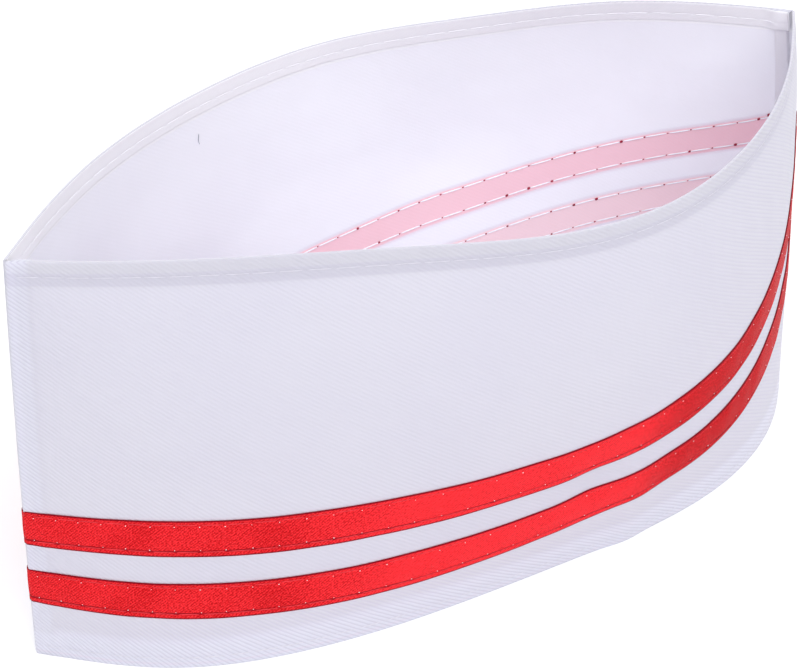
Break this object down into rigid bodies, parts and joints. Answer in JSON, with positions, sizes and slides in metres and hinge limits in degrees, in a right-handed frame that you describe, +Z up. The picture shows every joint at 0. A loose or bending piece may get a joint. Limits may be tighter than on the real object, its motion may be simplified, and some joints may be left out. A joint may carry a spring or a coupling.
{
  "type": "chef hat",
  "caption": "Boat-shaped twill chef hat with a hemmed head opening, red satin ribbons along both sides and a lens-shaped crown, resting on its crown.",
  "frame": {"origin": "middle of the hat's footprint box, on the surface that its crown stands on", "axes": "+Z up as the picture shows the hat, out of the head opening; +X towards the low end seam; the wearer's right side panel on -Y"},
  "size_m": [0.2626, 0.1244, 0.114],
  "materials": {
    "twill": "matte white polyester twill",
    "ribbon": "satin red polyester ribbon"
  },
  "bodies": {
    "root": {"right_side_panel": "twill", "left_side_panel": "twill", "crown_panel": "twill", "right_ribbon_by_rim": "ribbon", "right_ribbon_by_crown": "ribbon", "left_ribbon_by_rim": "ribbon", "left_ribbon_by_crown": "ribbon"}
  },
  "joints": []
}
